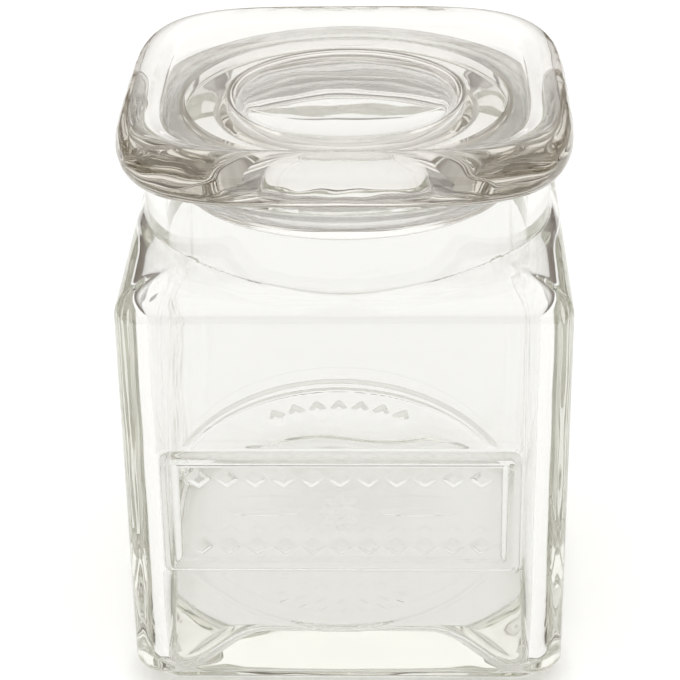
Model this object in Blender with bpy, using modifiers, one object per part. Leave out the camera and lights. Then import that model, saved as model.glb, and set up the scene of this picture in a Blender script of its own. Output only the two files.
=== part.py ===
"""Square storage jar of pressed glass, with a heavy glass lid and a finned sealing ring.

Frame: metres, +Z up, origin at the middle of the foot, on the surface the jar stands on.
The front, which carries the raised panel, faces -Y.
"""

import math

import bmesh
import bpy

# Driving dimensions, in metres
BODY_WIDTH = 0.095
BODY_CORNER_RADIUS = 0.0065
SHOULDER_LOW = 0.0898
SHOULDER_TOP = 0.0983
NECK_RADIUS = 0.0446
NECK_TOP = 0.1140
MOUTH_RADIUS = 0.0399
WALL = 0.0046
CAVITY_CORNER_RADIUS = 0.0040
FLOOR_MIDDLE = 0.0124
FLOOR_CORNER = 0.0024
LID_WIDTH = 0.0961
LID_BOTTOM = 0.1154
LID_TOP = 0.1271
PLUG_RADIUS = 0.0350
PLUG_BOTTOM = 0.1052
HOLLOW_RADIUS = 0.0262
HOLLOW_CEILING = 0.1200
CLEARANCE = 0.0003

# Foot and resting ring
FOOT_WIDTH = BODY_WIDTH * 0.92
FOOT_HEIGHT = 0.0027
HEEL_RADIUS = 0.0028
REST_INNER_RADIUS = 0.0360
PUSH_UP = 0.0012

# How far in each face of the shoulder has rounded over at its top, and the widest blend into the neck
SHOULDER_REACH = 0.0163
SHOULDER_BLEND = 0.0050
# The shoulder's profile is a quarter ellipse at 1 and gets squarer below it
SHOULDER_POWER = 0.84
INNER_SHOULDER_TOP = SHOULDER_TOP - 0.0040

# The floor is level out to one radius from the axis and has fallen to its corner height at another
FLOOR_LEVEL_RADIUS = BODY_WIDTH * 0.49
FLOOR_CORNER_RADIUS = BODY_WIDTH * 0.60

# Raised panel and oval ring on the front
PANEL_WIDTH = 0.0755
PANEL_BOTTOM = 0.0312
PANEL_TOP = 0.0605
PANEL_INSET = 0.0030
OVAL_WIDTH = 0.0750
OVAL_HEIGHT = 0.0626
OVAL_CENTRE = 0.0468
RELIEF_WIDTH = 0.0014
RELIEF_PROUD = 0.0005
RELIEF_ROOT = 0.0006
RELIEF_OFFSET = -0.0011

# Plan of the lid, a superellipse
LID_EXPONENT = 4.2
LID_LIP = 0.0012
LID_DISH = 0.0004

# Sealing ring
SEAL_INNER_RADIUS = PLUG_RADIUS + CLEARANCE
SEAL_BODY_RADIUS = SEAL_INNER_RADIUS + 0.0013
SEAL_FIN_RADIUS = MOUTH_RADIUS - CLEARANCE
SEAL_FLANGE_RADIUS = NECK_RADIUS - 0.0012
SEAL_TOP = LID_BOTTOM - CLEARANCE
SEAL_BOTTOM = 0.1078
SEAL_FINS = 3
FIN_THICKNESS = 0.0008

SECTION_POINTS = 80
TURNED_STEPS = 72
# How far the section points crowd towards the corners
CORNER_CROWDING = 0.17


def clear_scene():
    for thing in list(bpy.data.objects):
        bpy.data.objects.remove(thing, do_unlink=True)


def new_collection(name):
    collection = bpy.data.collections.new(name)
    bpy.context.scene.collection.children.link(collection)
    return collection


def principled(name, colour, roughness, transmission, alpha=1.0):
    """A Principled material; the glass and the ring let light through."""
    material = bpy.data.materials.new(name)
    material.use_nodes = True
    shader = material.node_tree.nodes["Principled BSDF"]
    shader.inputs["Base Color"].default_value = (*colour, 1.0)
    shader.inputs["Roughness"].default_value = roughness
    shader.inputs["Metallic"].default_value = 0.0
    shader.inputs["IOR"].default_value = 1.5
    shader.inputs["Transmission Weight"].default_value = transmission
    shader.inputs["Alpha"].default_value = alpha
    return material


def section_angles():
    """Angles round a section from midway along the side at +X, closest together at the four corners."""
    turns = [2.0 * math.pi * step / SECTION_POINTS for step in range(SECTION_POINTS)]
    return [turn + CORNER_CROWDING * math.sin(4.0 * turn) for turn in turns]


def square_radius(angle, half_width, corner):
    """Distance from the axis to a square with rounded corners, in the direction of an angle."""
    across = abs(math.cos(angle))
    along = abs(math.sin(angle))
    if across < along:
        across, along = along, across
    side_distance = half_width / across
    if side_distance * along <= half_width - corner:
        return side_distance
    centre = half_width - corner
    projected = centre * (across + along)
    return projected + math.sqrt(projected ** 2 - 2.0 * centre ** 2 + corner ** 2)


def superellipse_radius(angle, half_width, exponent):
    """Distance from the axis to a superellipse, in the direction of an angle."""
    across = abs(math.cos(angle)) ** exponent
    along = abs(math.sin(angle)) ** exponent
    return half_width / (across + along) ** (1.0 / exponent)


def square_ring(half_width, corner, height):
    return [(square_radius(angle, half_width, corner), angle, height) for angle in section_angles()]


def round_ring(radius, height):
    return [(radius, angle, height) for angle in section_angles()]


def loft(name, rings, collection, material):
    """Join a closed row of rings with faces; the first and last rings are closed by a middle point."""
    mesh = bmesh.new()
    rows = []
    for ring in rings:
        row = []
        for radius, angle, height in ring:
            place = (radius * math.cos(angle), radius * math.sin(angle), height)
            row.append(mesh.verts.new(place))
        rows.append(row)
    for lower, upper in zip(rows, rows[1:]):
        for index in range(SECTION_POINTS):
            following = (index + 1) % SECTION_POINTS
            mesh.faces.new((lower[index], lower[following], upper[following], upper[index]))
    for row in (rows[0], rows[-1]):
        middle = mesh.verts.new((0.0, 0.0, sum(vert.co.z for vert in row) / SECTION_POINTS))
        for index in range(SECTION_POINTS):
            mesh.faces.new((row[index], row[(index + 1) % SECTION_POINTS], middle))
    bmesh.ops.recalc_face_normals(mesh, faces=mesh.faces)
    data = bpy.data.meshes.new(name)
    mesh.to_mesh(data)
    mesh.free()
    data.shade_smooth()
    data.set_sharp_from_angle(angle=math.radians(40.0))
    data.materials.append(material)
    thing = bpy.data.objects.new(name, data)
    collection.objects.link(thing)
    return thing


def rounded_union(first, second, blend):
    """The larger of two distances from the axis, with a fillet where they differ by less than the blend."""
    share = min(max(0.5 + 0.5 * (first - second) / blend, 0.0), 1.0)
    return second + (first - second) * share + blend * share * (1.0 - share)


def shoulder_rings(half_width, corner, neck_radius, top, steps):
    """Rings up a shoulder whose four faces round over and meet in ridges, with the round neck through it."""
    rings = []
    for step in range(steps + 1):
        turn = 0.5 * math.pi * step / steps
        outward = math.cos(turn) ** SHOULDER_POWER
        upward = math.sin(turn) ** SHOULDER_POWER
        half = half_width - SHOULDER_REACH * (1.0 - outward)
        ridge = corner * (0.4 + 0.6 * outward)
        height = SHOULDER_LOW + (top - SHOULDER_LOW) * upward
        blend = SHOULDER_BLEND * math.sin(2.0 * turn) + 0.0001
        ring = []
        for angle in section_angles():
            radius = rounded_union(square_radius(angle, half, ridge), neck_radius, blend)
            ring.append((radius, angle, height))
        rings.append(ring)
    return rings


def floor_height(radius):
    """Height of the inner floor at a distance from the axis: thick in the middle, thin in the corners."""
    share = (radius - FLOOR_LEVEL_RADIUS) / (FLOOR_CORNER_RADIUS - FLOOR_LEVEL_RADIUS)
    share = min(max(share, 0.0), 1.0)
    ease = share * share * (3.0 - 2.0 * share)
    return FLOOR_MIDDLE - (FLOOR_MIDDLE - FLOOR_CORNER) * ease


def base_rings():
    """Underside from the middle out: push-up, flat resting ring, foot and rounded heel."""
    half_foot = FOOT_WIDTH / 2.0
    half_body = BODY_WIDTH / 2.0
    edge = 0.0006
    rings = [
        round_ring(REST_INNER_RADIUS * 0.5, PUSH_UP),
        round_ring(REST_INNER_RADIUS - 2.0 * PUSH_UP, PUSH_UP * 0.9),
        round_ring(REST_INNER_RADIUS, 0.0),
        square_ring(half_foot - edge, BODY_CORNER_RADIUS, 0.0),
        square_ring(half_foot, BODY_CORNER_RADIUS, edge),
        square_ring(half_foot, BODY_CORNER_RADIUS, FOOT_HEIGHT - edge),
        square_ring(half_body - HEEL_RADIUS, BODY_CORNER_RADIUS, FOOT_HEIGHT),
    ]
    steps = 4
    for step in range(1, steps + 1):
        turn = 0.5 * math.pi * step / steps
        half = half_body - HEEL_RADIUS * (1.0 - math.sin(turn))
        height = FOOT_HEIGHT + HEEL_RADIUS * (1.0 - math.cos(turn))
        rings.append(square_ring(half, BODY_CORNER_RADIUS, height))
    return rings


def neck_rings():
    """Outer neck, rounded rim and mouth wall, going up the outside and down the inside."""
    rim = 0.0009
    rings = [
        round_ring(NECK_RADIUS, SHOULDER_TOP + 0.0006),
        round_ring(NECK_RADIUS, NECK_TOP - rim),
        round_ring(NECK_RADIUS - rim * 0.3, NECK_TOP - rim * 0.3),
        round_ring(NECK_RADIUS - rim, NECK_TOP),
        round_ring(MOUTH_RADIUS + rim, NECK_TOP),
        round_ring(MOUTH_RADIUS + rim * 0.3, NECK_TOP - rim * 0.3),
        round_ring(MOUTH_RADIUS, NECK_TOP - rim),
        round_ring(MOUTH_RADIUS, INNER_SHOULDER_TOP + 0.0006),
    ]
    return rings


def cavity_rings():
    """Inner wall below the shoulder, the fillet at the floor, and the floor in to its middle."""
    half = BODY_WIDTH / 2.0 - WALL
    corner = CAVITY_CORNER_RADIUS
    fillet = 0.0016
    steps = 3
    rings = []
    for step in range(steps + 1):
        turn = 0.5 * math.pi * step / steps
        ring = []
        for angle in section_angles():
            wall_radius = square_radius(angle, half, corner)
            radius = wall_radius - fillet * (1.0 - math.cos(turn))
            height = floor_height(wall_radius) + fillet * (1.0 - math.sin(turn))
            ring.append((radius, angle, height))
        rings.append(ring)
    for share in (0.92, 0.86, 0.80, 0.74, 0.45):
        ring = []
        for angle in section_angles():
            radius = (square_radius(angle, half, corner) - fillet) * share
            ring.append((radius, angle, floor_height(radius)))
        rings.append(ring)
    return rings


def flat_outline(name, outlines, thickness, collection):
    """A flat piece from closed outlines on the front face; a second outline is a hole in the first."""
    curve = bpy.data.curves.new(name, "CURVE")
    curve.dimensions = "2D"
    curve.fill_mode = "BOTH"
    curve.extrude = thickness / 2.0
    for outline in outlines:
        spline = curve.splines.new("POLY")
        spline.points.add(len(outline) - 1)
        for point, (x, z) in zip(spline.points, outline):
            point.co = (x, z, 0.0, 1.0)
        spline.use_cyclic_u = True
    drawn = bpy.data.objects.new(name + "_outline", curve)
    collection.objects.link(drawn)
    drawn.location = (RELIEF_OFFSET, -BODY_WIDTH / 2.0 - RELIEF_PROUD + thickness / 2.0, 0.0)
    drawn.rotation_euler = (math.radians(90.0), 0.0, 0.0)
    bpy.context.view_layer.update()
    evaluated = drawn.evaluated_get(bpy.context.evaluated_depsgraph_get())
    data = bpy.data.meshes.new_from_object(evaluated)
    welded = bmesh.new()
    welded.from_mesh(data)
    bmesh.ops.remove_doubles(welded, verts=welded.verts, dist=0.00001)
    bmesh.ops.recalc_face_normals(welded, faces=welded.faces)
    welded.to_mesh(data)
    welded.free()
    solid = bpy.data.objects.new(name, data)
    solid.matrix_world = drawn.matrix_world
    collection.objects.link(solid)
    solid.hide_render = True
    solid.display_type = "WIRE"
    bpy.data.objects.remove(drawn, do_unlink=True)
    return solid


def rectangle(inset):
    """The panel's outline, drawn in by an inset."""
    half = PANEL_WIDTH / 2.0 - inset
    low = PANEL_BOTTOM + inset
    high = PANEL_TOP - inset
    return [(-half, low), (half, low), (half, high), (-half, high)]


def oval_arc(upper, points=30):
    """The part of the oval band that shows above or below the panel, as one closed outline."""
    edge = PANEL_TOP + CLEARANCE if upper else PANEL_BOTTOM - CLEARANCE
    side = 1.0 if upper else -1.0
    outline = []
    for inset, direction in ((0.0, 1), (RELIEF_WIDTH, -1)):
        half_height = OVAL_HEIGHT / 2.0 - inset
        start = math.asin((edge - OVAL_CENTRE) * side / half_height)
        turns = [start + (math.pi - 2.0 * start) * step / points for step in range(points + 1)]
        for turn in turns[::direction]:
            x = (OVAL_WIDTH / 2.0 - inset) * math.cos(turn)
            outline.append((x, OVAL_CENTRE + side * half_height * math.sin(turn)))
    return outline


def add_relief(jar, collection):
    """Raise the double frame of the panel and the oval band on the jar's front."""
    thickness = RELIEF_PROUD + RELIEF_ROOT
    shapes = {
        "outer_frame": [rectangle(0.0), rectangle(RELIEF_WIDTH)],
        "inner_frame": [rectangle(PANEL_INSET), rectangle(PANEL_INSET + RELIEF_WIDTH)],
        "upper_arc": [oval_arc(True)],
        "lower_arc": [oval_arc(False)],
    }
    for name, outlines in shapes.items():
        solid = flat_outline(name, outlines, thickness, collection)
        union = jar.modifiers.new(name, "BOOLEAN")
        union.operation = "UNION"
        union.object = solid


def make_jar_body(collection, cutters):
    half = BODY_WIDTH / 2.0
    inner_half = half - WALL
    rings = base_rings()
    rings += shoulder_rings(half, BODY_CORNER_RADIUS, NECK_RADIUS, SHOULDER_TOP, 9)
    rings += neck_rings()
    rings += reversed(shoulder_rings(inner_half, CAVITY_CORNER_RADIUS, MOUTH_RADIUS, INNER_SHOULDER_TOP, 7))
    rings += cavity_rings()
    glass = principled("jar_glass", (0.93, 0.95, 0.93), 0.02, 1.0, 0.35)
    jar = loft("jar_body", rings, collection, glass)
    add_relief(jar, cutters)
    return jar


def lid_ring(inset, height):
    """The lid's plan drawn in by an inset and kept in proportion."""
    half = LID_WIDTH / 2.0 - inset
    return [(superellipse_radius(angle, half, LID_EXPONENT), angle, height) for angle in section_angles()]


def make_lid(collection):
    """Thick square slab with a rounded edge, on a round plug that is hollow underneath."""
    edge = (LID_TOP - LID_BOTTOM) / 2.0
    field = LID_TOP - LID_LIP
    bead = 0.0011
    rings = [
        round_ring(HOLLOW_RADIUS * 0.8, HOLLOW_CEILING),
        round_ring(HOLLOW_RADIUS - 0.0012, HOLLOW_CEILING - 0.0008),
        round_ring(HOLLOW_RADIUS, HOLLOW_CEILING - 0.0024),
        round_ring(HOLLOW_RADIUS + 0.0018, PLUG_BOTTOM + 0.0008),
        round_ring(HOLLOW_RADIUS + 0.0026, PLUG_BOTTOM),
        round_ring(PLUG_RADIUS, PLUG_BOTTOM),
        round_ring(PLUG_RADIUS + bead, PLUG_BOTTOM + 0.0008),
        round_ring(PLUG_RADIUS + bead, SEAL_BOTTOM - CLEARANCE - 0.0006),
        round_ring(PLUG_RADIUS, SEAL_BOTTOM - CLEARANCE),
        round_ring(PLUG_RADIUS, LID_BOTTOM),
    ]
    steps = 10
    for step in range(steps + 1):
        turn = math.pi * step / steps
        rings.append(lid_ring(edge * (1.0 - math.sin(turn)), LID_BOTTOM + edge * (1.0 - math.cos(turn))))
    rings.append(lid_ring(edge + 0.0022, LID_TOP - LID_LIP * 0.35))
    rings.append(lid_ring(edge + 0.0044, field))
    rings.append(round_ring(HOLLOW_RADIUS, field - LID_DISH * 0.6))
    rings.append(round_ring(HOLLOW_RADIUS * 0.5, field - LID_DISH))
    glass = principled("lid_glass", (0.92, 0.94, 0.92), 0.02, 1.0, 0.35)
    return loft("lid", rings, collection, glass)


def seal_profile():
    """Half section of the ring, down its outer side and up its inner side."""
    points = [
        (SEAL_FLANGE_RADIUS, SEAL_TOP),
        (SEAL_FLANGE_RADIUS, NECK_TOP + CLEARANCE),
        (SEAL_BODY_RADIUS, NECK_TOP + CLEARANCE),
    ]
    spacing = (NECK_TOP - SEAL_BOTTOM) / (SEAL_FINS + 0.5)
    for fin in range(SEAL_FINS):
        top = NECK_TOP - spacing * (fin + 0.7)
        points.append((SEAL_BODY_RADIUS, top))
        points.append((SEAL_FIN_RADIUS, top + FIN_THICKNESS * 0.5))
        points.append((SEAL_FIN_RADIUS, top - FIN_THICKNESS * 0.1))
        points.append((SEAL_BODY_RADIUS, top - FIN_THICKNESS))
    points.append((SEAL_BODY_RADIUS, SEAL_BOTTOM))
    points.append((SEAL_INNER_RADIUS, SEAL_BOTTOM))
    points.append((SEAL_INNER_RADIUS, SEAL_TOP))
    return points


def make_seal_ring(collection):
    """Flexible ring that grips the lid's plug, turned from its half section."""
    points = seal_profile()
    data = bpy.data.meshes.new("seal_ring")
    edges = [(index, (index + 1) % len(points)) for index in range(len(points))]
    data.from_pydata([(radius, 0.0, height) for radius, height in points], edges, [])
    data.materials.append(principled("seal_silicone", (0.88, 0.89, 0.87), 0.35, 0.7, 0.6))
    ring = bpy.data.objects.new("seal_ring", data)
    collection.objects.link(ring)
    turn = ring.modifiers.new("turn", "SCREW")
    turn.steps = TURNED_STEPS
    turn.render_steps = TURNED_STEPS
    turn.use_merge_vertices = True
    turn.merge_threshold = 0.00001
    return ring


def main():
    clear_scene()
    jar_parts = new_collection("glass_storage_jar")
    relief = new_collection("relief_shapes")
    make_jar_body(jar_parts, relief)
    make_lid(jar_parts)
    make_seal_ring(jar_parts)


main()
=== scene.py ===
"""Looks of the square glass storage jar: fine pressed-glass meshes, clear materials and a pale studio.

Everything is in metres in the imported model's frame: +Z up, the front with the raised panel faces -Y.
"""

import math

import bpy
import numpy as np
from mathutils import Matrix, Vector


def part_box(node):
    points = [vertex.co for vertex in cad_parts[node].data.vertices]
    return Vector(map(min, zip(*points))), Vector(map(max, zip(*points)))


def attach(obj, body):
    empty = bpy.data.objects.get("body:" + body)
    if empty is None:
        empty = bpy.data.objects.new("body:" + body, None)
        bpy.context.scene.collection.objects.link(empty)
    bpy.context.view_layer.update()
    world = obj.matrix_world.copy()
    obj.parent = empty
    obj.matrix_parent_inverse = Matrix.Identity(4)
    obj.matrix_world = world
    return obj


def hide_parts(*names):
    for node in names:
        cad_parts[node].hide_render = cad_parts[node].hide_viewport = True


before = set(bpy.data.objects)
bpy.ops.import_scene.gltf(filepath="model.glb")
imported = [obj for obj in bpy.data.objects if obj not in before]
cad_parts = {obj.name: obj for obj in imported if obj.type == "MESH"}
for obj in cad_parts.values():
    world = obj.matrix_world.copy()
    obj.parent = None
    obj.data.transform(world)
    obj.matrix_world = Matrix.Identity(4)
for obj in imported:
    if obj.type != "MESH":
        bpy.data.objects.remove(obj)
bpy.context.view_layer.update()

# Sizes read from the frame
JAR_LOW, JAR_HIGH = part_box("jar_body")
LID_LOW, LID_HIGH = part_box("lid")
SEAL_LOW, SEAL_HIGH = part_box("seal_ring")
HALF_BODY = JAR_HIGH.x
NECK_TOP = JAR_HIGH.z
HALF_LID = LID_HIGH.x
LID_TOP = LID_HIGH.z
PLUG_BOTTOM = LID_LOW.z
SEAL_TOP = SEAL_HIGH.z
SEAL_BOTTOM = SEAL_LOW.z
CLEARANCE = 0.0003

# Jar: outer form
CORNER_RADIUS = 0.0065
FOOT_HALF = HALF_BODY * 0.92
FOOT_HEIGHT = 0.0027
FOOT_EDGE = 0.0006
HEEL_RADIUS = 0.0028
REST_INNER_RADIUS = 0.0360
PUSH_UP = 0.0012
SHOULDER_LOW = 0.0898
SHOULDER_TOP = 0.0983
# How far in each face of the shoulder has rounded over at its top, and the widest blend into the neck
SHOULDER_REACH = 0.0163
SHOULDER_BLEND = 0.0050
# The shoulder's profile is a quarter ellipse at 1 and gets squarer below it
SHOULDER_POWER = 0.84
NECK_RADIUS = 0.0446
NECK_ROOT = SHOULDER_TOP + 0.0006
RIM_RADIUS = 0.0009

# Jar: cavity
WALL = 0.0046
CAVITY_CORNER_RADIUS = 0.0055
INNER_SHOULDER_TOP = SHOULDER_TOP - 0.0040
MOUTH_RADIUS = 0.0399
CAVITY_WALL_HIGH = 0.0870
CAVITY_WALL_LOW = 0.0180
# The floor is level out to one distance from the axis and has fallen to its corner height at another
FLOOR_MIDDLE = 0.0124
FLOOR_CORNER = 0.0024
FLOOR_LEVEL_RADIUS = HALF_BODY * 0.98
FLOOR_CORNER_RADIUS = HALF_BODY * 1.20
FLOOR_FILLET = 0.0030
WAVE_DEPTH = 0.00006
WAVE_PHASE = 1.7
# The innermost rings of the floor have no waves
STILL_RINGS = 12

# Raised work on the front: how far it stands out, and the stretch of the front that it takes up
RELIEF_PROUD = 0.0005
RELIEF_OFFSET = -0.0011
RELIEF_LOW = 0.0120
RELIEF_HIGH = 0.0800
RELIEF_STEP = 0.00033
ROWS_BELOW_RELIEF = (0.0070, 0.0095)
ROWS_ABOVE_RELIEF = (0.0830, 0.0860)

# Raised panel; heights and depths of its parts are shares of RELIEF_PROUD
PANEL_HALF = 0.03775
PANEL_BOTTOM = 0.0312
PANEL_TOP = 0.0605
PANEL_CORNER = 0.0016
FRAME_WIDTH = 0.0030
FRAME_BEVEL = 0.0008
FIELD_BEVEL = 0.0009
FIELD_DEPTH = 1.6
ORNAMENT_HEIGHT = 1.3
GROOVE_DISTANCE = 0.0005
GROOVE_HALF_WIDTH = 0.0003
GROOVE_DEPTH = 0.4
ROW_INSET = 0.0032
ROSETTE_RADIUS = 0.0040
BAR_CENTRE = 0.0165
BAR_HALF_LENGTH = 0.0090
BAR_HALF_HEIGHT = 0.0007
BAR_TAPER = 0.0070

# Oval band behind the panel, with its half widths at the top and elsewhere
OVAL_HALF_WIDTH = 0.0375
OVAL_HALF_HEIGHT = 0.0313
OVAL_CENTRE = 0.0468
BAND_BOLD = 0.0014
BAND_MEDIUM = 0.0004
BAND_FINE = 0.0005
BAND_GAP = 0.0012
ARC_INSET = 0.0066

# Lid: slab, plug and hollow
LID_BOTTOM = SEAL_TOP + CLEARANCE
LID_EXPONENT = 4.2
LID_LIP = 0.0015
LID_LIP_WIDTH = 0.0042
LID_DISH = 0.0004
PLUG_RADIUS = 0.0350
PLUG_BEAD = 0.0011
PLUG_LIP = 0.0010
HOLLOW_RADIUS = 0.0262
HOLLOW_DRAFT = 0.0018
HOLLOW_CEILING = 0.1200
CEILING_RISE = 0.0002
CEILING_CORNER_WIDTH = 0.0050
CEILING_CORNER_HEIGHT = 0.0024

# Cooling marks in the lid's rim: turns round the lid, radians per metre upwards, and start
SWIRL_DEPTH = 0.00016
SWIRL_START = PLUG_RADIUS + 0.0040
SWIRL_FADE = 0.0080
SWIRL_MARKS = ((23.0, 500.0, 0.0), (41.0, -900.0, 1.3), (11.0, 1400.0, 0.7))

# Sealing ring
SEAL_INNER_RADIUS = PLUG_RADIUS + CLEARANCE
SEAL_BODY_RADIUS = SEAL_INNER_RADIUS + 0.0013
SEAL_FIN_RADIUS = MOUTH_RADIUS - CLEARANCE
SEAL_FLANGE_RADIUS = NECK_RADIUS - 0.0012
SEAL_FLANGE_BOTTOM = NECK_TOP + CLEARANCE
SEAL_EDGE = 0.0003
FLANGE_EDGE = 0.0002
SEAL_FINS = 3
FIN_THICKNESS = 0.0008
FIN_ROOT_WIDTH = 0.0006

# Fineness of the meshes
FRONT_COLUMNS = 240
SIDE_COLUMNS = 56
CORNER_COLUMNS = 18
LID_COLUMNS = 384
LID_EDGE_STEPS = 40
BEAD_STEPS = 12
SEAL_STEPS = 256
WELD_DISTANCE = 0.00001

# Camera: where it stands and looks, as shares of the body's width
BODY_WIDTH = 2.0 * HALF_BODY
CAMERA_PLACE = Vector((0.128, -4.712, 3.161)) * BODY_WIDTH
CAMERA_TARGET = Vector((-0.0227, 0.0, 0.6565)) * BODY_WIDTH
CAMERA_ROLL = -0.88
CAMERA_LENS = 117.5
CAMERA_SENSOR = 36.0

# Studio
FLOOR_HALF = 0.60
# Air under the foot, so that light passes between the glass and the floor
FLOOR_GAP = 0.0002
FLOOR_COLOUR = (0.96, 0.96, 0.955, 1.0)
SOFTBOX_STRENGTH = 1.28
SOFTBOX_COLOUR = (SOFTBOX_STRENGTH, SOFTBOX_STRENGTH, SOFTBOX_STRENGTH * 0.99, 1.0)
ROOM_COLOUR = (0.62, 0.60, 0.56, 1.0)
HORIZON_COLOUR = (0.18, 0.15, 0.13, 1.0)
# Heights in the sky, from 0 at the horizon to 1 overhead, where each of them begins
HORIZON_TOP = 0.10
ROOM_HEIGHT = 0.32
SOFTBOX_EDGE = 0.48

# Glass and silicone
GLASS_IOR = 1.52
GLASS_DENSITY = 90.0
GLASS_HAZE = 0.03
JAR_SKIN_COLOUR = (0.935, 0.935, 0.93)
JAR_DEPTH_COLOUR = (0.977, 0.977, 0.970)
LID_SKIN_COLOUR = (0.992, 0.990, 0.988)
LID_DEPTH_COLOUR = (0.954, 0.949, 0.938)
SILICONE_IOR = 1.41
SILICONE_COVER = 0.55


# ---------------------------------------------------------------- camera and studio

def make_camera():
    data = bpy.data.cameras.new("camera")
    data.lens = CAMERA_LENS
    data.sensor_width = CAMERA_SENSOR
    data.clip_start = 0.01
    data.clip_end = 20.0
    camera = bpy.data.objects.new("camera", data)
    bpy.context.scene.collection.objects.link(camera)
    look = (CAMERA_TARGET - CAMERA_PLACE).to_track_quat("-Z", "Y").to_matrix().to_4x4()
    roll = Matrix.Rotation(math.radians(CAMERA_ROLL), 4, "Z")
    camera.matrix_world = Matrix.Translation(CAMERA_PLACE) @ look @ roll
    bpy.context.scene.camera = camera


def make_floor():
    """White table under the jar."""
    half = FLOOR_HALF
    height = JAR_LOW.z - FLOOR_GAP
    corners = [(-half, -half, height), (half, -half, height), (half, half, height), (-half, half, height)]
    mesh = bpy.data.meshes.new("floor")
    mesh.from_pydata(corners, [], [(0, 1, 2, 3)])
    floor = bpy.data.objects.new("floor", mesh)
    bpy.context.scene.collection.objects.link(floor)
    material = bpy.data.materials.new("floor_white")
    material.use_nodes = True
    shader = material.node_tree.nodes["Principled BSDF"]
    shader.inputs["Base Color"].default_value = FLOOR_COLOUR
    shader.inputs["Roughness"].default_value = 0.9
    shader.inputs["Specular IOR Level"].default_value = 0.0
    mesh.materials.append(material)


def make_world():
    """A wide softbox overhead, a grey room that darkens to the horizon, and plain white to the camera."""
    world = bpy.data.worlds.new("studio")
    bpy.context.scene.world = world
    world.use_nodes = True
    nodes = world.node_tree.nodes
    links = world.node_tree.links
    nodes.clear()
    place = nodes.new("ShaderNodeTexCoord")
    split = nodes.new("ShaderNodeSeparateXYZ")
    ramp = nodes.new("ShaderNodeValToRGB")
    ramp.color_ramp.interpolation = "EASE"
    ramp.color_ramp.elements[0].position = HORIZON_TOP
    ramp.color_ramp.elements[0].color = HORIZON_COLOUR
    ramp.color_ramp.elements[1].position = SOFTBOX_EDGE
    ramp.color_ramp.elements[1].color = SOFTBOX_COLOUR
    middle = ramp.color_ramp.elements.new(ROOM_HEIGHT)
    middle.color = ROOM_COLOUR
    studio = nodes.new("ShaderNodeBackground")
    white = nodes.new("ShaderNodeBackground")
    white.inputs["Color"].default_value = (1.0, 1.0, 1.0, 1.0)
    ray = nodes.new("ShaderNodeLightPath")
    mix = nodes.new("ShaderNodeMixShader")
    out = nodes.new("ShaderNodeOutputWorld")
    links.new(place.outputs["Generated"], split.inputs["Vector"])
    links.new(split.outputs["Z"], ramp.inputs["Fac"])
    links.new(ramp.outputs["Color"], studio.inputs["Color"])
    links.new(ray.outputs["Is Camera Ray"], mix.inputs["Fac"])
    links.new(studio.outputs["Background"], mix.inputs[1])
    links.new(white.outputs["Background"], mix.inputs[2])
    links.new(mix.outputs["Shader"], out.inputs["Surface"])


def set_light_paths():
    """Clear glass needs deep light paths, and white has to stay white."""
    scene = bpy.context.scene
    scene.view_settings.view_transform = "Standard"
    scene.view_settings.look = "None"
    scene.cycles.max_bounces = 64
    scene.cycles.transmission_bounces = 48
    scene.cycles.glossy_bounces = 48
    scene.cycles.diffuse_bounces = 4
    scene.cycles.transparent_max_bounces = 16
    scene.cycles.caustics_reflective = True
    scene.cycles.caustics_refractive = True
    scene.cycles.blur_glossy = 0.1
    scene.cycles.sample_clamp_indirect = 6.0
    scene.cycles.use_denoising = True
    scene.cycles.denoiser = "OPENIMAGEDENOISE"


# ---------------------------------------------------------------- materials

def glass_material(name, skin_colour, depth_colour, wave_size, wave_depth):
    """Clear pressed glass: faint waves and a trace of haze on its skin, tinted by its skin and depth."""
    material = bpy.data.materials.new(name)
    material.use_nodes = True
    nodes = material.node_tree.nodes
    links = material.node_tree.links
    shader = nodes["Principled BSDF"]
    output = nodes["Material Output"]
    shader.inputs["Base Color"].default_value = (*skin_colour, 1.0)
    shader.inputs["Transmission Weight"].default_value = 1.0
    shader.inputs["IOR"].default_value = GLASS_IOR
    place = nodes.new("ShaderNodeTexCoord")
    haze = nodes.new("ShaderNodeTexNoise")
    haze.inputs["Scale"].default_value = 60.0
    haze.inputs["Detail"].default_value = 3.0
    haze_range = nodes.new("ShaderNodeMapRange")
    haze_range.inputs["From Min"].default_value = 0.45
    haze_range.inputs["From Max"].default_value = 0.75
    haze_range.inputs["To Min"].default_value = 0.0
    haze_range.inputs["To Max"].default_value = GLASS_HAZE
    waves = nodes.new("ShaderNodeTexNoise")
    waves.inputs["Scale"].default_value = 1.0 / wave_size
    waves.inputs["Detail"].default_value = 1.0
    bump = nodes.new("ShaderNodeBump")
    bump.inputs["Distance"].default_value = wave_depth
    bump.inputs["Strength"].default_value = 1.0
    links.new(place.outputs["Object"], haze.inputs["Vector"])
    links.new(place.outputs["Object"], waves.inputs["Vector"])
    links.new(haze.outputs["Fac"], haze_range.inputs["Value"])
    links.new(haze_range.outputs["Result"], shader.inputs["Roughness"])
    links.new(waves.outputs["Fac"], bump.inputs["Height"])
    links.new(bump.outputs["Normal"], shader.inputs["Normal"])
    depth = nodes.new("ShaderNodeVolumeAbsorption")
    depth.inputs["Color"].default_value = (*depth_colour, 1.0)
    depth.inputs["Density"].default_value = GLASS_DENSITY
    links.new(depth.outputs["Volume"], output.inputs["Volume"])
    return material


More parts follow.
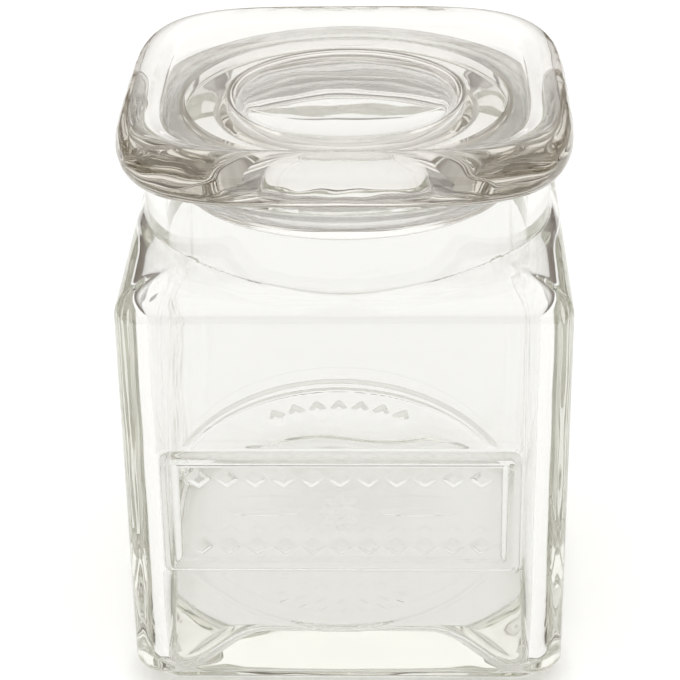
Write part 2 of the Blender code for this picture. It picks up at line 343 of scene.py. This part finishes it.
def seal_material():
    """Clear silicone with a slightly cloudy, uneven surface."""
    material = bpy.data.materials.new("seal_silicone_fine")
    material.use_nodes = True
    nodes = material.node_tree.nodes
    links = material.node_tree.links
    shader = nodes["Principled BSDF"]
    shader.inputs["Transmission Weight"].default_value = 1.0
    shader.inputs["Alpha"].default_value = SILICONE_COVER
    shader.inputs["IOR"].default_value = SILICONE_IOR
    place = nodes.new("ShaderNodeTexCoord")
    cloud = nodes.new("ShaderNodeTexNoise")
    cloud.inputs["Scale"].default_value = 120.0
    colour = nodes.new("ShaderNodeValToRGB")
    colour.color_ramp.elements[0].color = (0.93, 0.94, 0.92, 1.0)
    colour.color_ramp.elements[1].color = (0.98, 0.98, 0.97, 1.0)
    rough = nodes.new("ShaderNodeMapRange")
    rough.inputs["To Min"].default_value = 0.04
    rough.inputs["To Max"].default_value = 0.14
    bump = nodes.new("ShaderNodeBump")
    bump.inputs["Distance"].default_value = 0.00004
    links.new(place.outputs["Object"], cloud.inputs["Vector"])
    links.new(cloud.outputs["Fac"], colour.inputs["Fac"])
    links.new(colour.outputs["Color"], shader.inputs["Base Color"])
    links.new(cloud.outputs["Fac"], rough.inputs["Value"])
    links.new(rough.outputs["Result"], shader.inputs["Roughness"])
    links.new(cloud.outputs["Fac"], bump.inputs["Height"])
    links.new(bump.outputs["Normal"], shader.inputs["Normal"])
    return material


# ---------------------------------------------------------------- shape functions

def smooth_step(value):
    """Ease from 0 to 1 while the value goes from 0 to 1."""
    value = np.clip(value, 0.0, 1.0)
    return value * value * (3.0 - 2.0 * value)


def arc(steps):
    """Angles through a quarter turn, from 0 to 90 degrees."""
    return [0.5 * math.pi * step / steps for step in range(steps + 1)]


def square_radius(angles, half_width, corner):
    """Distance from the axis to a square with rounded corners, in the direction of each angle."""
    across = np.maximum(np.abs(np.cos(angles)), np.abs(np.sin(angles)))
    along = np.minimum(np.abs(np.cos(angles)), np.abs(np.sin(angles)))
    centre = half_width - corner
    on_side = half_width / across
    projected = centre * (across + along)
    on_corner = projected + np.sqrt(np.maximum(projected ** 2 - 2.0 * centre ** 2 + corner ** 2, 0.0))
    return np.where(on_side * along <= centre, on_side, on_corner)


def superellipse_radius(angles, half_width, exponent):
    """Distance from the axis to a superellipse, in the direction of each angle."""
    across = np.abs(np.cos(angles)) ** exponent
    along = np.abs(np.sin(angles)) ** exponent
    return half_width / (across + along) ** (1.0 / exponent)


def rounded_union(first, second, blend):
    """The larger of two distances from the axis, with a fillet where they differ by less than the blend."""
    share = np.clip(0.5 + 0.5 * (first - second) / blend, 0.0, 1.0)
    return second + (first - second) * share + blend * share * (1.0 - share)


def jar_angles():
    """Directions of the jar's columns: close together on the front, where the raised work is."""
    straight = HALF_BODY - CORNER_RADIUS
    turn = math.atan2(straight, HALF_BODY)
    angles = []
    for side in range(4):
        middle = math.pi * (side - 1) / 2.0
        count = FRONT_COLUMNS if side == 0 else SIDE_COLUMNS
        angles.extend(middle + np.arctan(np.linspace(-straight, straight, count) / HALF_BODY))
        corner = np.linspace(turn, math.pi / 2.0 - turn, CORNER_COLUMNS + 2)[1:-1]
        angles.extend(middle + corner)
    return np.array(angles)


def place_rings(rings, angles):
    """Points of a row of rings, each given as distance from the axis and height."""
    radii = np.array([np.broadcast_to(radius, len(angles)) for radius, _ in rings])
    heights = np.array([np.broadcast_to(height, len(angles)) for _, height in rings])
    return np.stack([radii * np.cos(angles), radii * np.sin(angles), heights], axis=-1)


def move_outwards(points, step):
    """Move points away from the axis, and by less than the step where they are almost on it."""
    distance = np.maximum(np.hypot(points[..., 0], points[..., 1]), 0.004)
    points[..., 0] += step * points[..., 0] / distance
    points[..., 1] += step * points[..., 1] / distance


def add_waves(points):
    """Faint unevenness of hot-pressed glass: two crossing sets of long waves."""
    x, y, z = points[..., 0], points[..., 1], points[..., 2]
    phase = WAVE_PHASE
    wave = np.sin(210.0 * x + 95.0 * z + phase) * np.sin(160.0 * y - 120.0 * z + 2.0 * phase)
    wave += 0.6 * np.sin(330.0 * z + 120.0 * x - phase) * np.sin(270.0 * y + 140.0 * x + phase)
    move_outwards(points, WAVE_DEPTH * wave)


def add_swirls(points):
    """Cooling marks in the lid's rounded rim: shallow dents, which only ever go inwards."""
    x, y, z = points[..., 0], points[..., 1], points[..., 2]
    around = np.arctan2(y, x)
    marks = sum(np.sin(turns * around + rise * z + start) for turns, rise, start in SWIRL_MARKS)
    reach = smooth_step((np.hypot(x, y) - SWIRL_START) / SWIRL_FADE)
    height_share = (z - LID_BOTTOM) / (LID_TOP - LID_BOTTOM)
    rim = reach * np.clip(4.0 * height_share * (1.0 - height_share), 0.0, 1.0)
    move_outwards(points, -0.5 * SWIRL_DEPTH * (1.0 + marks / len(SWIRL_MARKS)) * rim)


def skin(name, points, material, body, node):
    """Make the mesh of a row of rings, closed at both ends, and let it stand for its CAD node."""
    rows, columns = points.shape[:2]
    ends = np.array([points[0].mean(axis=0), points[-1].mean(axis=0)])
    vertices = np.concatenate([points.reshape(-1, 3), ends])
    column = np.arange(columns)
    following = (column + 1) % columns
    quads = []
    for row in range(rows - 1):
        low = row * columns
        high = low + columns
        quads.append(np.stack([low + column, low + following, high + following, high + column], axis=1))
    first_end = rows * columns
    last_end = first_end + 1
    last_row = first_end - columns
    start_fan = np.stack([following, column, np.full(columns, first_end)], axis=1)
    end_fan = np.stack([last_row + column, last_row + following, np.full(columns, last_end)], axis=1)
    faces = np.concatenate(quads).tolist() + start_fan.tolist() + end_fan.tolist()
    mesh = bpy.data.meshes.new(name)
    mesh.from_pydata(vertices.tolist(), [], faces)
    mesh.shade_smooth()
    mesh.materials.append(material)
    piece = bpy.data.objects.new(name, mesh)
    bpy.context.scene.collection.objects.link(piece)
    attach(piece, body)
    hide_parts(node)


# ---------------------------------------------------------------- raised work on the front

def ridge(distance, half_width, edge=0.0005):
    """Height share of a raised line: flat on top, with rounded flanks."""
    return smooth_step((half_width - distance) / edge + 0.5)


def box_distance(x, z, half_width, half_height, corner):
    """Distance outside (positive) or inside (negative) a rounded rectangle's outline, centred on zero."""
    outside_x = np.abs(x) - half_width + corner
    outside_z = np.abs(z) - half_height + corner
    outside = np.hypot(np.maximum(outside_x, 0.0), np.maximum(outside_z, 0.0))
    return outside + np.minimum(np.maximum(outside_x, outside_z), 0.0) - corner


def lozenges(along, across, pitch, count, half_length, half_height):
    """A row of an odd number of raised lozenges, centred on zero."""
    nearest = np.clip(np.round(along / pitch), -(count // 2), count // 2)
    span = np.abs(along - nearest * pitch) / half_length + np.abs(across) / half_height
    return smooth_step((1.0 - span) / 0.5)


def rosette(x, z, radius):
    """A small eight-petalled flower with a ring round its eye."""
    distance = np.hypot(x, z)
    petals = radius * (0.75 + 0.25 * np.cos(8.0 * np.arctan2(z, x)))
    flower = smooth_step((petals - distance) / 0.0006 + 0.5)
    return flower * (1.0 - ridge(np.abs(distance - 0.36 * radius), 0.0003))


def bars(x, z):
    """Two level bars, one on each side of the middle, that taper to both ends."""
    past_end = np.abs(np.abs(x) - BAR_CENTRE) - BAR_HALF_LENGTH
    half_height = BAR_HALF_HEIGHT * smooth_step(-past_end / BAR_TAPER)
    return ridge(np.abs(z), half_height, 0.0004) * smooth_step(-past_end / 0.0006)


def panel_ornament(x, z, half_height):
    """Rosette between two bars, with a row of lozenges above and below."""
    ornament = rosette(x, z, ROSETTE_RADIUS)
    row_height = half_height - FRAME_WIDTH - ROW_INSET
    for side in (1.0, -1.0):
        across = z - side * row_height
        row = lozenges(x, across, pitch=0.0060, count=11, half_length=0.0027, half_height=0.0024)
        ornament = np.maximum(ornament, row)
    return np.maximum(ornament, bars(x, z))


def panel_height(x, z):
    """Height share of the framed panel with its sunk field, and the share of each point outside it."""
    from_middle = z - 0.5 * (PANEL_TOP + PANEL_BOTTOM)
    half_height = 0.5 * (PANEL_TOP - PANEL_BOTTOM)
    edge = box_distance(x, from_middle, PANEL_HALF, half_height, PANEL_CORNER)
    frame_edge = smooth_step(-edge / FRAME_BEVEL)
    field = smooth_step(-(edge + FRAME_WIDTH - 0.0006) / FIELD_BEVEL)
    groove = ridge(np.abs(edge - GROOVE_DISTANCE), GROOVE_HALF_WIDTH)
    ornament = panel_ornament(x, from_middle, half_height)
    in_field = field * (ORNAMENT_HEIGHT * ornament - FIELD_DEPTH)
    return frame_edge + in_field - GROOVE_DEPTH * groove, smooth_step(edge / 0.0010)


def oval_height(x, z):
    """Band of an oval ring, bold over the panel and fine under it, with an arc of lozenges inside each."""
    dz = z - OVAL_CENTRE
    shape = np.hypot(x / OVAL_HALF_WIDTH, dz / OVAL_HALF_HEIGHT)
    slope = np.hypot(x / OVAL_HALF_WIDTH ** 2, dz / OVAL_HALF_HEIGHT ** 2) / np.maximum(shape, 0.1)
    from_oval = (shape - 1.0) / np.maximum(slope, 1.0)
    rise = np.clip(dz / OVAL_HALF_HEIGHT, 0.0, 1.0)
    band = np.where(dz > 0.0, BAND_MEDIUM + (BAND_BOLD - BAND_MEDIUM) * rise ** 2, BAND_FINE)
    ends = np.where(dz > 0.0, smooth_step((z - PANEL_TOP) / BAND_GAP - 1.0), 0.8)
    centre = np.abs(from_oval + band)
    height = (ridge(centre, band) - 0.5 * ridge(centre, 0.3 * band)) * ends
    turn = np.arctan2(x / OVAL_HALF_WIDTH, np.abs(dz) / OVAL_HALF_HEIGHT)
    along = turn * OVAL_HALF_WIDTH
    across = from_oval + ARC_INSET
    row = lozenges(along, across, pitch=0.0056, count=7, half_length=0.0025, half_height=0.0022)
    return np.maximum(height, 0.8 * row)


def relief_height(x, z):
    """How far each point of the flat front stands out, or is sunk where the value is negative."""
    panel, outside = panel_height(x - RELIEF_OFFSET, z)
    return RELIEF_PROUD * np.clip(panel + outside * oval_height(x - RELIEF_OFFSET, z), -1.0, 1.0)


# ---------------------------------------------------------------- the jar

def foot_rings(angles):
    """Underside with its shallow push-up, the inset foot, and the rounded heel of the body."""
    rings = []
    for share in np.linspace(0.1, 1.0, 10):
        rings.append((REST_INNER_RADIUS * share, PUSH_UP * (1.0 - smooth_step(share))))
    for turn in arc(5):
        half = FOOT_HALF - FOOT_EDGE * (1.0 - math.sin(turn))
        rings.append((square_radius(angles, half, CORNER_RADIUS), FOOT_EDGE * (1.0 - math.cos(turn))))
    step_height = FOOT_HEIGHT - FOOT_EDGE
    rings.append((square_radius(angles, FOOT_HALF, CORNER_RADIUS), step_height))
    for turn in arc(4)[1:]:
        half = FOOT_HALF + (HALF_BODY - HEEL_RADIUS - FOOT_HALF) * (1.0 - math.cos(turn))
        height = step_height + FOOT_EDGE * math.sin(turn)
        rings.append((square_radius(angles, half, CORNER_RADIUS), height))
    for turn in arc(10)[1:]:
        half = HALF_BODY - HEEL_RADIUS * (1.0 - math.sin(turn))
        height = FOOT_HEIGHT + HEEL_RADIUS * (1.0 - math.cos(turn))
        rings.append((square_radius(angles, half, CORNER_RADIUS), height))
    return rings


def wall_rings(angles, half, corner, heights):
    radius = square_radius(angles, half, corner)
    return [(radius, height) for height in heights]


def shoulder_rings(angles, half, corner, neck_radius, top, steps):
    """Rings up a shoulder whose four faces round over and meet in ridges, with the round neck through it."""
    rings = []
    for turn in arc(steps):
        outward = math.cos(turn) ** SHOULDER_POWER
        upward = math.sin(turn) ** SHOULDER_POWER
        face = half - SHOULDER_REACH * (1.0 - outward)
        ridge_radius = corner * (0.4 + 0.6 * outward)
        blend = SHOULDER_BLEND * math.sin(2.0 * turn) + 0.0001
        radius = rounded_union(square_radius(angles, face, ridge_radius), neck_radius, blend)
        rings.append((radius, SHOULDER_LOW + (top - SHOULDER_LOW) * upward))
    return rings


def neck_outline():
    """Half section over the rim, from the root of the neck outside to the mouth wall inside."""
    outline = [(NECK_RADIUS, float(height)) for height in np.linspace(NECK_ROOT, NECK_TOP - RIM_RADIUS, 12)]
    for turn in arc(6)[1:]:
        radius = NECK_RADIUS - RIM_RADIUS * (1.0 - math.cos(turn))
        outline.append((radius, NECK_TOP - RIM_RADIUS * (1.0 - math.sin(turn))))
    for turn in arc(6):
        radius = MOUTH_RADIUS + RIM_RADIUS * (1.0 - math.sin(turn))
        outline.append((radius, NECK_TOP - RIM_RADIUS * (1.0 - math.cos(turn))))
    for height in np.linspace(NECK_TOP - RIM_RADIUS - 0.001, INNER_SHOULDER_TOP + 0.001, 10):
        outline.append((MOUTH_RADIUS, float(height)))
    return outline


def floor_height(radius):
    """Height of the inner floor at a distance from the axis: thick in the middle, thin in the corners."""
    share = (radius - FLOOR_LEVEL_RADIUS) / (FLOOR_CORNER_RADIUS - FLOOR_LEVEL_RADIUS)
    return FLOOR_MIDDLE - (FLOOR_MIDDLE - FLOOR_CORNER) * smooth_step(share)


def cavity_floor_rings(angles, half, corner):
    """The fillet between wall and floor, and the floor in to its middle."""
    wall_radius = square_radius(angles, half, corner)
    rings = []
    for turn in arc(8):
        radius = wall_radius - FLOOR_FILLET * (1.0 - math.cos(turn))
        rings.append((radius, floor_height(wall_radius) + FLOOR_FILLET * (1.0 - math.sin(turn))))
    for share in np.linspace(0.985, 0.60, 34):
        radius = (wall_radius - FLOOR_FILLET) * share
        rings.append((radius, floor_height(radius)))
    rings.append(((wall_radius - FLOOR_FILLET) * 0.3, FLOOR_MIDDLE))
    return rings


def raise_relief(front):
    """Move the points of the flat front out or in by the height of the raised work."""
    x, z = front[..., 0], front[..., 2]
    on_front = (front[..., 1] < -HALF_BODY + WELD_DISTANCE) & (np.abs(x) < HALF_BODY - CORNER_RADIUS)
    front[..., 1] -= np.where(on_front, relief_height(x, z), 0.0)


def make_jar(material):
    """One skin from the underside over the outside and the rim, down the cavity to its floor."""
    angles = jar_angles()
    relief_rows = np.arange(RELIEF_LOW, RELIEF_HIGH, RELIEF_STEP)
    heights = [*ROWS_BELOW_RELIEF, *relief_rows, RELIEF_HIGH, *ROWS_ABOVE_RELIEF]
    base = foot_rings(angles)
    outer = base + wall_rings(angles, HALF_BODY, CORNER_RADIUS, heights)
    outer += shoulder_rings(angles, HALF_BODY, CORNER_RADIUS, NECK_RADIUS, SHOULDER_TOP, 36)
    outer += neck_outline()
    outside = place_rings(outer, angles)
    raise_relief(outside[len(base):len(base) + len(heights)])

    half = HALF_BODY - WALL
    corner = CAVITY_CORNER_RADIUS
    inner = shoulder_rings(angles, half, corner, MOUTH_RADIUS, INNER_SHOULDER_TOP, 30)[::-1]
    inner += wall_rings(angles, half, corner, np.linspace(CAVITY_WALL_HIGH, CAVITY_WALL_LOW, 24))
    inner += cavity_floor_rings(angles, half, corner)
    inside = place_rings(inner, angles)
    add_waves(inside[:-STILL_RINGS])
    points = np.concatenate([outside, inside])
    skin("jar_glass_body", points, material, "jar", "jar_body")


# ---------------------------------------------------------------- the lid

def hollow_outline():
    """Half section of the plug's hollow, from the middle of its ceiling down to the plug's lip."""
    wall_top = HOLLOW_CEILING - CEILING_CORNER_HEIGHT
    lip_top = PLUG_BOTTOM + PLUG_LIP
    outline = []
    for share in (0.3, 0.6, 0.78):
        outline.append((HOLLOW_RADIUS * share, HOLLOW_CEILING + CEILING_RISE * (1.0 - share)))
    for turn in arc(10):
        radius = HOLLOW_RADIUS - CEILING_CORNER_WIDTH * (1.0 - math.sin(turn))
        outline.append((radius, HOLLOW_CEILING - CEILING_CORNER_HEIGHT * (1.0 - math.cos(turn))))
    for share in np.linspace(0.1, 0.92, 9):
        outline.append((HOLLOW_RADIUS + HOLLOW_DRAFT * share, wall_top + (lip_top - wall_top) * share))
    return outline


def plug_outline():
    """Half section of the plug outside its hollow: lip, bead and groove, up to the slab's underside."""
    groove_foot = SEAL_BOTTOM - CLEARANCE
    outline = []
    for turn in arc(5):
        radius = HOLLOW_RADIUS + HOLLOW_DRAFT + PLUG_LIP * (1.0 - math.cos(turn))
        outline.append((radius, PLUG_BOTTOM + PLUG_LIP * (1.0 - math.sin(turn))))
    bead_radius = 0.5 * (groove_foot - PLUG_BOTTOM)
    bead_centre = PLUG_RADIUS + PLUG_BEAD - bead_radius
    for step in range(BEAD_STEPS + 1):
        turn = math.pi * (step / BEAD_STEPS - 0.5)
        radius = bead_centre + bead_radius * math.cos(turn)
        outline.append((radius, PLUG_BOTTOM + bead_radius * (1.0 + math.sin(turn))))
    for height in np.linspace(groove_foot + 0.0002, LID_BOTTOM, 8):
        outline.append((PLUG_RADIUS, float(height)))
    return outline


def slab_rings(angles):
    """Underside of the slab, its rounded edge, the lip round its top, and the dished top."""
    edge = 0.5 * (LID_TOP - LID_BOTTOM)
    top = LID_TOP - LID_LIP

    def plan(inset):
        return superellipse_radius(angles, HALF_LID - inset, LID_EXPONENT)

    rings = []
    for share in (0.25, 0.5, 0.75):
        rings.append((PLUG_RADIUS + (plan(edge) - PLUG_RADIUS) * share, LID_BOTTOM))
    for step in range(LID_EDGE_STEPS + 1):
        turn = math.pi * step / LID_EDGE_STEPS
        rings.append((plan(edge * (1.0 - math.sin(turn))), LID_BOTTOM + edge * (1.0 - math.cos(turn))))
    for share in np.linspace(0.08, 1.0, 14):
        rings.append((plan(edge + LID_LIP_WIDTH * share), LID_TOP - LID_LIP * smooth_step(share)))
    inner = plan(edge + LID_LIP_WIDTH)
    for share in np.linspace(0.9, 0.1, 9):
        rings.append((inner * share, top - LID_DISH * (1.0 - share ** 2)))
    return rings


def make_lid(material):
    """One skin from the hollow's ceiling over the plug, the slab and its top."""
    angles = np.linspace(0.0, 2.0 * math.pi, LID_COLUMNS, endpoint=False)
    points = place_rings(hollow_outline() + plug_outline() + slab_rings(angles), angles)
    add_swirls(points)
    skin("lid_glass_slab", points, material, "lid", "lid")


# ---------------------------------------------------------------- the sealing ring

def fin_outline(top):
    """Half section of one fin, from the ring's body out round its tip and back."""
    tip = SEAL_FIN_RADIUS - SEAL_EDGE
    outline = [(SEAL_BODY_RADIUS, top), (SEAL_BODY_RADIUS + FIN_ROOT_WIDTH, top + FIN_THICKNESS * 0.1)]
    for step in range(5):
        turn = math.pi * (0.5 - step / 4.0)
        height = top + FIN_THICKNESS * (0.2 + 0.3 * math.sin(turn))
        outline.append((tip + SEAL_EDGE * math.cos(turn), height))
    outline.append((SEAL_BODY_RADIUS, top - FIN_THICKNESS))
    return outline


def seal_outline():
    """Half section of the ring with its flange and fins, down its outer side and up its inner side."""
    outline = [
        (SEAL_INNER_RADIUS + SEAL_EDGE, SEAL_TOP),
        (SEAL_FLANGE_RADIUS - SEAL_EDGE, SEAL_TOP),
        (SEAL_FLANGE_RADIUS, SEAL_TOP - FLANGE_EDGE),
        (SEAL_FLANGE_RADIUS, SEAL_FLANGE_BOTTOM + FLANGE_EDGE),
        (SEAL_FLANGE_RADIUS - SEAL_EDGE, SEAL_FLANGE_BOTTOM),
        (SEAL_BODY_RADIUS + SEAL_EDGE, SEAL_FLANGE_BOTTOM),
    ]
    spacing = (NECK_TOP - SEAL_BOTTOM) / (SEAL_FINS + 0.5)
    for fin in range(SEAL_FINS):
        outline += fin_outline(NECK_TOP - spacing * (fin + 0.7))
    outline += [
        (SEAL_BODY_RADIUS, SEAL_BOTTOM + SEAL_EDGE),
        (SEAL_BODY_RADIUS - SEAL_EDGE, SEAL_BOTTOM),
        (SEAL_INNER_RADIUS + SEAL_EDGE, SEAL_BOTTOM),
        (SEAL_INNER_RADIUS, SEAL_BOTTOM + SEAL_EDGE),
        (SEAL_INNER_RADIUS, SEAL_TOP - SEAL_EDGE),
    ]
    return outline


def make_seal(material):
    """The ring, turned from its half section."""
    outline = seal_outline()
    mesh = bpy.data.meshes.new("seal_ring_fine")
    edges = [(index, (index + 1) % len(outline)) for index in range(len(outline))]
    mesh.from_pydata([(radius, 0.0, height) for radius, height in outline], edges, [])
    mesh.materials.append(material)
    ring = bpy.data.objects.new("seal_ring_fine", mesh)
    bpy.context.scene.collection.objects.link(ring)
    turn = ring.modifiers.new("turn", "SCREW")
    turn.steps = SEAL_STEPS
    turn.render_steps = SEAL_STEPS
    turn.use_merge_vertices = True
    turn.merge_threshold = WELD_DISTANCE
    turn.use_smooth_shade = True
    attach(ring, "seal")
    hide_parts("seal_ring")


make_camera()
make_floor()
make_world()
set_light_paths()
jar_glass = glass_material(
    "jar_glass_fine", JAR_SKIN_COLOUR, JAR_DEPTH_COLOUR, wave_size=0.018, wave_depth=0.00010)
lid_glass = glass_material(
    "lid_glass_fine", LID_SKIN_COLOUR, LID_DEPTH_COLOUR, wave_size=0.014, wave_depth=0.00008)
make_jar(jar_glass)
make_lid(lid_glass)
make_seal(seal_material())
